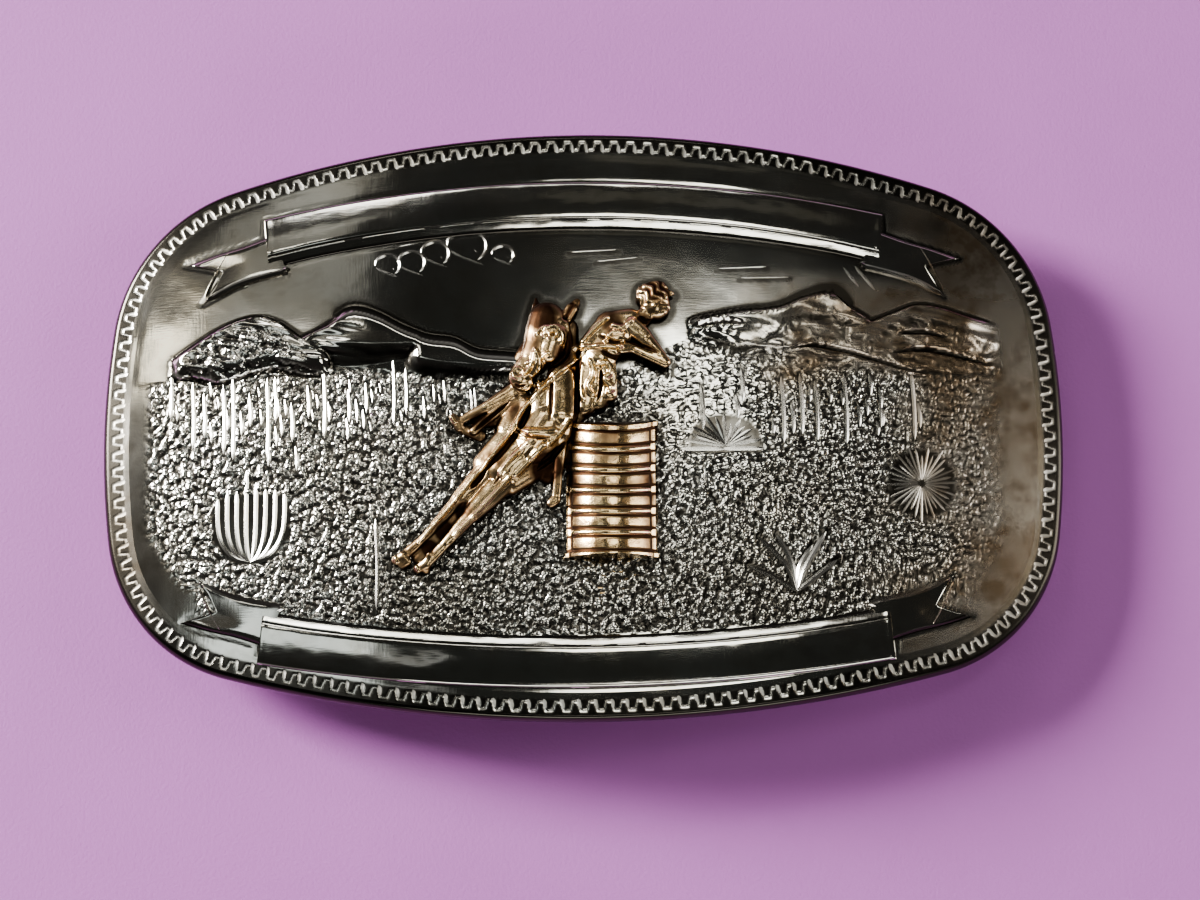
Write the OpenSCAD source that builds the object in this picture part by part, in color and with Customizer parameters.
// Western trophy buckle, in millimetres: a crowned nickel-silver plate with ribbons and a desert scene in low
// relief, a gilt horse and rider turning round a gilt barrel, and a strap loop and a prong on the back.
// X runs along the plate, Y up the scene, Z out of the face. It lies on the loop and the prong, at Z = 0.

/* [Plate] */
// Length of the plate from end to end
plate_length = 95.5; // [90:0.5:102]
// Width of the plate from its lower edge to its upper edge
plate_width = 59; // [56:0.5:64]
// Radius of the two long edges
long_edge_r = 129; // [115:1:170]
// Radius of the two short ends
end_r = 83; // [72:1:100]
// Radius of the four corners
corner_r = 16.6; // [14:0.2:19]
// Thickness of the metal
wall = 1.7; // [1.3:0.1:2.2]
// Radius that the plate is bent to along its length
belly_r = 180; // [165:5:300]
// Radius of the crown across its width
crown_r = 350; // [280:10:600]
// Radius of the rounded outer edge
edge_r = 0.9; // [0.6:0.1:1.3]
// How far the turned-down rim hangs below the back
rim_drop = 1; // [0.7:0.1:1.6]
// Width of the rim's underside
rim_width = 1.5; // [1.2:0.1:2.2]
// How far the rim's outside leans in below the edge
rim_draft = 0.6; // [0.3:0.1:1]

/* [Relief] */
// Height of the two ribbons over the face
ribbon_height = 0.6; // [0.4:0.05:0.9]
// Height of the ribbons' swallow tails over the face
tail_height = 0.35; // [0.2:0.05:0.6]
// Height of the mountain ridges over the face
ridge_height = 0.7; // [0.4:0.05:1]
// Thickness of the strokes that draw the plants and clouds
stroke = 0.55; // [0.4:0.05:0.8]
// Number of ribs of the barrel cactus
cactus_ribs = 7; // [5:1:9]
// Number of blades of the yucca
yucca_blades = 9; // [7:1:13]
// Number of rays of the round cactus
round_rays = 18; // [12:1:28]

/* [Overlays] */
// Height of the horse and rider, from the lowest hoof to the rider's head
figure_height = 28; // [25:0.5:30]
// How much the horse and rider stand out, as a share of a full round figure
figure_relief = 0.62; // [0.45:0.01:0.75]
// Width of the barrel across its hoops
barrel_width = 8.9; // [8.5:0.1:10.5]
// Height of the barrel
barrel_height = 13.5; // [12.5:0.1:15]
// How far the barrel stands out of the face
barrel_depth = 2.7; // [2:0.1:3.2]
// How far the barrel's rims and hoops stand proud of its wall
hoop_proud = 0.25; // [0.15:0.05:0.4]
// Width of the barrel's rims and hoops
hoop_width = 0.6; // [0.4:0.05:0.8]
// Number of hoops between the barrel's rims
barrel_hoops = 5; // [3:1:7]
// Gap between an overlay and what it is set on or beside
overlay_gap = 0.08; // [0.05:0.01:0.15]

/* [Back] */
// Clear width of the loop for the strap
strap_width = 41; // [36:1:42]
// Clear height between the loop's bar and the back
strap_room = 5.2; // [4.5:0.1:7]
// Thickness of the loop's wire
loop_wire = 3; // [2.4:0.1:3.4]
// Radius of the loop's bends, to the middle of the wire
loop_bend_r = 2.5; // [2.2:0.1:3.5]
// Distance of the loop from the plate's right end
loop_inset = 17.75; // [15:0.25:21]
// Thickness of the prong
prong_d = 3.2; // [2.6:0.1:3.6]
// Thickness of the prong's tenon, inside its socket
tenon_d = 2.4; // [1.8:0.1:2.6]
// Distance of the prong's root from the plate's left end
prong_inset = 17.75; // [14:0.25:21]
// Lean of the prong towards the end of the plate, in degrees
prong_lean = 24; // [10:1:35]
// Wall of the sockets that hold the loop and the prong
socket_wall = 0.9; // [0.7:0.1:1.4]
// Depth of those sockets
socket_depth = 1.8; // [1.2:0.1:2.4]
// Gap round a wire in its socket
socket_gap = 0.12; // [0.08:0.01:0.2]

/* [Hidden] */

half_length = plate_length / 2;
half_width = plate_width / 2;
loop_reach = half_length - loop_inset;
prong_reach = half_length - prong_inset;
leg_y = strap_width / 2 + loop_wire / 2;

// The face is a shallow bowl turned over: how far it has dropped at a place, and its height there
function drop(x, y) = x * x / (2 * belly_r) + y * y / (2 * crown_r);
crown_z = loop_wire + strap_room + drop(loop_reach, strap_width / 2) + wall;
function face_z(x, y) = crown_z - drop(x, y);
function back_z(x, y) = face_z(x, y) - wall;

// The outline is eight tangent arcs: two long edges, two ends and four corners
long_c = [0, half_width - long_edge_r];
end_c = [half_length - end_r, 0];
centres_apart = norm(end_c - long_c);
centres_dir = (end_c - long_c) / centres_apart;
long_reach = long_edge_r - corner_r;
end_reach = end_r - corner_r;
corner_along = (pow(centres_apart, 2) + pow(long_reach, 2) - pow(end_reach, 2)) / (2 * centres_apart);
corner_aside = sqrt(pow(long_reach, 2) - pow(corner_along, 2));
corner_c = long_c + centres_dir * corner_along + [centres_dir.y, -centres_dir.x] * corner_aside;
end_angle = atan2(corner_c.y, corner_c.x - end_c.x);
long_angle = atan2(corner_c.y - long_c.y, corner_c.x);

// Point of the first quarter of the outline where its normal has angle a, moved inwards by inset
function quarter_point(a, inset) =
    let (way = [cos(a), sin(a)])
    a < end_angle ? end_c + (end_r - inset) * way
    : a < long_angle ? corner_c + (corner_r - inset) * way
    : long_c + (long_edge_r - inset) * way;
function fold(a) = a <= 90 ? a : a <= 180 ? 180 - a : a <= 270 ? a - 180 : 360 - a;
function edge_point(a, inset) =
    let (p = quarter_point(fold(a), inset))
    [(a > 90 && a < 270 ? -1 : 1) * p.x, (a > 180 ? -1 : 1) * p.y];

// Normals' angles round the outline, closer together at the corners
end_steps = 3;
corner_steps = 8;
long_steps = 9;
quarter = concat(
    [for (i = [0 : end_steps - 1]) end_angle * i / end_steps],
    [for (i = [0 : corner_steps - 1]) end_angle + (long_angle - end_angle) * i / corner_steps],
    [for (i = [0 : long_steps - 1]) long_angle + (90 - long_angle) * i / long_steps]);
last = len(quarter) - 1;
stations = concat(
    quarter, [90],
    [for (i = [last : -1 : 1]) 180 - quarter[i]], [180],
    [for (i = [1 : last]) 180 + quarter[i]], [270],
    [for (i = [last : -1 : 1]) 360 - quarter[i]]);

function ring(inset, share, fall) =
    [for (a = stations) let (p = share * edge_point(a, inset)) [p.x, p.y, face_z(p.x, p.y) - fall]];

// Rings inside the edge, as shares of the outline
inner_shares = [0.18, 0.38, 0.56, 0.72, 0.87];

// Closed crowned solid. Each row is [inset, share of the outline, fall below the face], from the middle of
// the top, round the edge, to the middle of the underside.
module crowned(rows) {
    count = len(stations);
    final = len(rows) - 1;
    points = concat(
        [for (row = rows) each ring(row[0], row[1], row[2])],
        [[0, 0, face_z(0, 0) - rows[0][2]], [0, 0, face_z(0, 0) - rows[final][2]]]);
    top = count * len(rows);
    faces = concat(
        [for (j = [0 : count - 1]) [top, (j + 1) % count, j]],
        [for (i = [0 : final - 1]) for (j = [0 : count - 1])
            [i * count + j, i * count + (j + 1) % count, (i + 1) * count + (j + 1) % count]],
        [for (i = [0 : final - 1]) for (j = [0 : count - 1])
            [i * count + j, (i + 1) * count + (j + 1) % count, (i + 1) * count + j]],
        [for (j = [0 : count - 1]) [final * count + j, final * count + (j + 1) % count, top + 1]]);
    polyhedron(points, faces, convexity = 4);
}

function reversed(list) = [for (i = [len(list) - 1 : -1 : 0]) list[i]];

// The bare plate: face, rounded edge, turned-down rim and hollow back
module bare_plate() {
    bottom_bevel = 0.4;
    back_bevel = 0.6;
    crowned(concat(
        [for (share = inner_shares) [edge_r, share, 0]],
        [for (turn = [0 : 30 : 90]) [edge_r * (1 - sin(turn)), 1, edge_r * (1 - cos(turn))]],
        [[rim_draft, 1, wall + rim_drop - bottom_bevel],
         [rim_draft + bottom_bevel, 1, wall + rim_drop],
         [rim_draft + rim_width, 1, wall + rim_drop],
         [rim_draft + rim_width + back_bevel, 1, wall]],
        [for (share = reversed(inner_shares)) [rim_draft + rim_width + back_bevel, share, wall]]));
}

// Everything from a depth under the face to a height over it
module face_layer(height, depth = wall / 2) {
    crowned(concat(
        [for (share = inner_shares) [edge_r, share, -height]],
        [[edge_r, 1, -height], [edge_r, 1, depth]],
        [for (share = reversed(inner_shares)) [edge_r, share, depth]]));
}

// A flat shape in the XY plane, raised out of the face to a height
module emboss(height) {
    intersection() {
        linear_extrude(crown_z + wall + height) children();
        face_layer(height);
    }
}

module on_face(x, y) translate([x, y, face_z(x, y)]) children();

// A raised stroke from p to q, which may taper
module line_stroke(p, q, start_r, end_r, fn = 6) {
    hull() {
        on_face(p.x, p.y) sphere(start_r, $fn = fn);
        on_face(q.x, q.y) sphere(end_r, $fn = fn);
    }
}

// A place of the scene: the tables hold shares of the half length and half width, drawn a little larger than
// they lie on the plate, and the scene's middle lies a little below the plate's
scene_scale = 0.984;
scene_middle = [0, -0.022];
function on_scene(p) =
    [(scene_middle.x + scene_scale * p.x) * half_length, (scene_middle.y + scene_scale * p.y) * half_width];

// Ribbon band in shares of the half length and half width, about the middle between the two ribbons
ribbon_middle = [-0.017, -0.037];
ribbon_end_x = 0.65;
ribbon_outer = [0.857, 0.758]; // [at the middle, at the ends]
ribbon_inner = [0.687, 0.583];
// Swallow tail: corners in the same shares, from the band's outer corner round to its inner edge
ribbon_tail = [
    [0.630, 0.715], [0.808, 0.612], [0.731, 0.577], [0.770, 0.474],
    [0.692, 0.534], [0.592, 0.562], [0.592, 0.620]];

function bowed(edge, t) = edge[0] + (edge[1] - edge[0]) * t * t;

module ribbon_band() {
    steps = 8;
    polygon(concat(
        [for (i = [-steps : steps]) let (t = i / steps)
            [t * ribbon_end_x * half_length, bowed(ribbon_outer, t) * half_width]],
        [for (i = [steps : -1 : -steps]) let (t = i / steps)
            [t * (ribbon_end_x - 0.02) * half_length, bowed(ribbon_inner, t) * half_width]]));
}

// The upper ribbon, or the lower one with flip = 1
module ribbon(flip) {
    middle = [ribbon_middle.x * half_length, ribbon_middle.y * half_width];
    emboss(ribbon_height) translate(middle) mirror([0, flip]) ribbon_band();
    for (side = [0, 1])
        emboss(tail_height) translate(middle) mirror([0, flip]) mirror([side, 0])
            polygon([for (p = ribbon_tail) [p.x * half_length, p.y * half_width]]);
}

// Mountains on the scene: each row is [left foot, peak, right foot, left base, right base]
left_range = [
    [[-0.877, 0.275], [-0.690, 0.415], [-0.531, 0.280], [-0.840, 0.175], [-0.540, 0.200]],
    [[-0.600, 0.330], [-0.479, 0.428], [-0.321, 0.325], [-0.560, 0.200], [-0.330, 0.195]],
    [[-0.400, 0.340], [-0.330, 0.335], [-0.170, 0.250], [-0.360, 0.195], [-0.170, 0.190]]];
right_range = [
    [[0.223, 0.360], [0.440, 0.430], [0.590, 0.360], [0.240, 0.285], [0.560, 0.240]],
    [[0.440, 0.420], [0.523, 0.470], [0.600, 0.360], [0.460, 0.250], [0.620, 0.220]],
    [[0.560, 0.350], [0.730, 0.440], [0.850, 0.380], [0.560, 0.220], [0.840, 0.215]]];

// One mountain, high along its ridge and falling to its foot
module mountain(row) {
    foot_height = 0.15;
    sunk = wall / 3;
    heights = [0.8 * ridge_height, ridge_height, 0.8 * ridge_height, foot_height, foot_height];
    hull() for (i = [0 : 4]) let (p = on_scene(row[i]))
        on_face(p.x, p.y) translate([0, 0, -sunk])
            cylinder(h = sunk + heights[i], r = stroke / 2, $fn = 5);
}

// Fluted barrel cactus: ribs that bow out from one foot
cactus_foot = [-0.692, -0.445];
cactus_size = [0.068, 0.320]; // half its width and its whole height, in the same shares
module barrel_cactus() {
    foot = on_scene(cactus_foot);
    bow = cactus_size.x * half_length;
    tall = cactus_size.y * half_width;
    for (i = [0 : cactus_ribs - 1]) {
        side = 2 * i / (cactus_ribs - 1) - 1;
        low = foot + [side * bow * 0.45, tall * 0.04];
        mid = foot + [side * bow, tall * (0.38 - 0.12 * (1 - side * side))];
        high = foot + [side * bow * 0.92, tall * (0.8 + 0.2 * (1 - side * side))];
        line_stroke(low, mid, stroke / 2, stroke / 1.6);
        line_stroke(mid, high, stroke / 1.6, stroke / 2.2);
    }
}

// Yucca: a half fan of pointed blades over a ground line
yucca_centre = [0.296, -0.067];
yucca_r = 0.095; // share of the half length
module yucca() {
    centre = on_scene(yucca_centre);
    for (i = [0 : yucca_blades - 1]) {
        turn = 10 + 160 * i / (yucca_blades - 1);
        long = yucca_r * half_length * (i % 2 == 0 ? 1 : 0.78);
        line_stroke(centre, centre + long * [cos(turn), sin(turn)], stroke / 2.2, stroke / 5, 5);
    }
}

// Round cactus: rays from a centre, long and short by turns
round_centre = [0.705, -0.190];
round_r = 0.080; // share of the half length
module round_cactus() {
    centre = on_scene(round_centre);
    for (i = [0 : round_rays - 1]) {
        turn = 360 * i / round_rays;
        long = round_r * half_length * (i % 2 == 0 ? 1 : 0.75);
        line_stroke(
            centre + 0.2 * long * [cos(turn), sin(turn)],
            centre + long * [cos(turn), sin(turn)], stroke / 2.6, stroke / 5, 4);
    }
}

// Agave: curved leaves that rise from one foot; each row is [turn of the leaf, length as a share]
agave_foot = [0.440, -0.545];
agave_leaves = [[128, 0.110], [108, 0.080], [84, 0.090], [56, 0.105], [150, 0.065]];
module agave() {
    foot = on_scene(agave_foot);
    for (leaf = agave_leaves) {
        long = leaf[1] * half_length;
        knee = foot + 0.55 * long * [cos(leaf[0]), sin(leaf[0]) * 1.1];
        tip = foot + long * [cos(leaf[0]) * 1.1, sin(leaf[0])];
        line_stroke(foot, knee, stroke / 2, stroke / 1.8, 5);
        line_stroke(knee, tip, stroke / 1.8, stroke / 5, 5);
    }
}

// Clouds: small rings; each row is [x, y, radius], the radius as a share of the half length
cloud_rings = [
    [-0.409, 0.572, 0.024], [-0.359, 0.578, 0.027], [-0.309, 0.608, 0.029], [-0.242, 0.632, 0.040],
    [-0.166, 0.598, 0.021]];
module clouds() {
    for (cloud = cloud_rings) let (p = on_scene(cloud))
        on_face(p.x, p.y)
            rotate_extrude($fn = 10) translate([cloud[2] * half_length, 0]) circle(stroke / 2.4, $fn = 4);
}

// A blind socket on the back: its outside, up into the wall, and the room inside it for a wire
module socket_body(wire) {
    translate([0, 0, -socket_depth])
        cylinder(h = socket_depth + wall, d = wire + 2 * (socket_gap + socket_wall), $fn = 20);
}
module socket_room(wire) {
    translate([0, 0, -2 * socket_depth]) cylinder(h = 2 * socket_depth, d = wire + 2 * socket_gap, $fn = 20);
}

module at_loop_legs()
    for (side = [-1, 1]) translate([loop_reach, side * leg_y, back_z(loop_reach, leg_y)]) children();

module at_prong_root()
    translate([-prong_reach, 0, back_z(prong_reach, 0)]) rotate([0, prong_lean, 0]) children();

module buckle_plate() {
    color("silver") difference() {
        union() {
            bare_plate();
            for (flip = [0, 1]) ribbon(flip);
            for (row = left_range) mountain(row);
            for (row = right_range) mountain(row);
            barrel_cactus();
            yucca();
            round_cactus();
            agave();
            clouds();
            difference() {
                union() {
                    at_loop_legs() socket_body(loop_wire);
                    at_prong_root() socket_body(tenon_d);
                }
                face_layer(2 * wall);
            }
        }
        at_loop_legs() socket_room(loop_wire);
        at_prong_root() socket_room(tenon_d);
    }
}

// Barrel: its middle, and the radius whose arc has the barrel's width and depth
barrel_centre = [0.056, -0.241]; // shares of the half length and half width
barrel_x = barrel_centre.x * half_length;
barrel_y = barrel_centre.y * half_width;
barrel_r = (pow(barrel_width / 2, 2) + pow(barrel_depth, 2)) / (2 * barrel_depth);

module at_barrel()
    translate([barrel_x, barrel_y, face_z(barrel_x, barrel_y)])
        rotate([atan(-barrel_y / crown_r), atan(barrel_x / belly_r), 0]) children();

// The front of a drum with rolled rims and hoops, cut flat at the back
module barrel() {
    pitch = (barrel_height - hoop_width) / (barrel_hoops + 1);
    color("goldenrod") at_barrel() intersection() {
        translate([0, 0, barrel_depth - barrel_r]) rotate([90, 0, 0]) union() {
            cylinder(h = barrel_height - hoop_width, r = barrel_r - hoop_proud, center = true, $fn = 64);
            for (i = [0 : barrel_hoops + 1])
                translate([0, 0, (i - (barrel_hoops + 1) / 2) * pitch])
                    cylinder(h = hoop_width, r = barrel_r, center = true, $fn = 64);
        }
        translate([-barrel_width, -barrel_height, overlay_gap])
            cube([2 * barrel_width, 2 * barrel_height, 2 * barrel_depth]);
    }
}

// Room kept free of the horse and rider
module barrel_room() {
    room = [barrel_width, barrel_height, 4 * barrel_depth] + 4 * overlay_gap * [1, 1, 0];
    at_barrel() cube(room, center = true);
}

// Horse and rider. Each row is [start x, y, radius, lift, end x, y, radius, lift] of one rounded limb, in
// hundredths of the figure's height, from the figure's middle; lift is its middle's height over the face.
figure_middle = [0.005, -0.025]; // shares of the half length and half width
horse = [
    // skull, cheek and muzzle
    [-12.8, 36.0, 7.4, 2, -15.6, 27.5, 7.2, 3],
    [-15.6, 27.5, 6.4, 3, -23.2, 16.2, 4.6, 3],
    [-10.6, 31.0, 4.8, 4, -13.4, 24.0, 4.0, 4],
    // ears
    [-16.4, 39.0, 2.0, 3, -16.9, 45.4, 0.8, 1],
    [-7.0, 37.0, 2.0, 3, -2.4, 44.2, 1.3, 1],
    // neck and mane
    [-6.8, 34.0, 5.4, 0, -7.6, 18.0, 6.0, 1],
    // chest and shoulders
    [-11.0, 13.0, 7.0, 3, -13.0, 2.0, 8.6, 3],
    [-13.0, 2.0, 8.6, 2, -19.4, -7.6, 8.8, 2],
    [-21.0, 7.0, 5.2, 0, -24.0, -2.0, 7.0, 1],
    // raised foreleg, its shin and its hoof
    [-24.6, 10.0, 4.0, 2, -34.0, 4.6, 2.6, 2],
    [-34.0, 4.6, 2.5, 2, -45.0, 0.2, 1.9, 1],
    [-45.4, 0.8, 2.2, 1, -42.0, -2.0, 1.7, 1],
    [-43.0, -1.2, 1.8, 0, -33.0, -4.2, 2.4, 0],
    [-38.5, 1.0, 2.4, 0, -28.0, 3.0, 4.6, 0],
    // belly and quarters
    [-19.4, -7.6, 8.8, 2, -30.0, -16.4, 7.2, 2],
    [-24.0, -2.0, 7.0, 1, -34.6, -10.0, 5.6, 1],
    [-7.6, -4.0, 4.6, 0, -12.0, -15.0, 5.0, 0],
    // near legs, far legs and the web of metal between them
    [-33.0, -12.0, 5.4, 2, -49.0, -29.0, 2.9, 2],
    [-49.0, -29.0, 2.9, 2, -63.0, -45.6, 2.2, 1],
    [-29.0, -19.0, 5.6, 2, -42.6, -33.0, 3.6, 2],
    [-42.6, -33.0, 3.6, 2, -56.0, -48.2, 2.6, 1],
    [-38.0, -22.0, 4.4, 0, -57.6, -45.6, 3.0, 0],
    // hooves
    [-62.6, -46.0, 2.4, 1, -65.4, -46.8, 2.0, 0],
    [-55.4, -48.6, 2.8, 1, -57.8, -50.0, 2.2, 0],
    // tucked foreleg beside the barrel
    [-9.4, -8.0, 2.6, 2, -10.0, -24.0, 1.9, 1],
    [-10.0, -24.0, 1.9, 1, -10.6, -28.4, 2.2, 1]];
rider = [
    // head and its peak
    [24.0, 45.2, 6.4, 2, 24.6, 42.4, 5.8, 2],
    [27.6, 47.0, 2.4, 2, 31.2, 46.6, 0.9, 2],
    // neck
    [21.6, 38.4, 3.2, 2, 18.0, 34.4, 3.6, 2],
    // back and ribs
    [15.0, 36.2, 5.4, 3, 8.0, 34.0, 6.2, 3],
    [8.0, 34.0, 6.2, 3, 1.8, 25.6, 5.8, 2],
    // upper arm and forearm of the near arm
    [17.6, 32.6, 3.4, 4, 27.6, 21.8, 2.3, 4],
    [27.6, 21.4, 2.3, 4, 12.4, 26.0, 2.1, 4],
    // hips, thigh and skirt of the shirt
    [1.6, 24.0, 5.6, 2, 0.8, 13.6, 6.6, 2],
    [4.4, 17.0, 4.6, 2, 5.8, 9.0, 4.0, 2],
    [0.8, 13.6, 6.0, 2, -4.4, 3.0, 4.0, 2],
    // rein
    [12.4, 26.0, 0.9, 6, -3.0, 26.6, 0.9, 6],
    [4.0, 26.0, 0.8, 7, -17.4, 9.0, 0.8, 9]];
limb_sides = 8;

module limb_end(x, y, r, lift) {
    unit = figure_height / 100;
    on_face(figure_middle.x * half_length + x * unit, figure_middle.y * half_width + y * unit)
        scale([1, 1, figure_relief]) translate([0, 0, lift * unit]) sphere(r * unit, $fn = limb_sides);
}

module limb(row)
    hull() {
        limb_end(row[0], row[1], row[2], row[3]);
        limb_end(row[4], row[5], row[6], row[7]);
    }

module horse_and_rider() {
    color("peru") difference() {
        union() {
            for (row = horse) limb(row);
            for (row = rider) limb(row);
        }
        face_layer(overlay_gap, crown_z / 2);
        barrel_room();
    }
}

// Strap loop: a bar, two bends and two legs of round wire
module belt_loop() {
    bar_y = leg_y - loop_bend_r;
    bar_z = loop_wire / 2;
    leg_top = back_z(loop_reach, leg_y) - socket_gap;
    color("lightgray") {
        translate([loop_reach, bar_y, bar_z]) rotate([90, 0, 0])
            cylinder(h = 2 * bar_y, d = loop_wire, $fn = 32);
        for (side = [0, 1]) mirror([0, side, 0]) {
            translate([loop_reach, bar_y, bar_z + loop_bend_r]) rotate([0, 90, 0])
                rotate_extrude(angle = 90, $fn = 48)
                    translate([loop_bend_r, 0]) circle(d = loop_wire, $fn = 32);
            translate([loop_reach, leg_y, bar_z + loop_bend_r])
                cylinder(h = leg_top - bar_z - loop_bend_r, d = loop_wire, $fn = 32);
        }
    }
}

// Prong for the strap's holes: a tenon in the socket, a leaning shaft and a domed tip
module belt_hook() {
    tip_r = prong_d / 2;
    reach = (back_z(prong_reach, 0) - tip_r) / cos(prong_lean);
    shoulder = socket_depth + socket_gap;
    color("gainsboro") at_prong_root() union() {
        translate([0, 0, -shoulder]) cylinder(h = shoulder - socket_gap, d = tenon_d, $fn = 32);
        translate([0, 0, -reach]) cylinder(h = reach - shoulder, r = tip_r, $fn = 32);
        translate([0, 0, -reach]) sphere(tip_r, $fn = 32);
    }
}

buckle_plate();
horse_and_rider();
barrel();
belt_loop();
belt_hook();
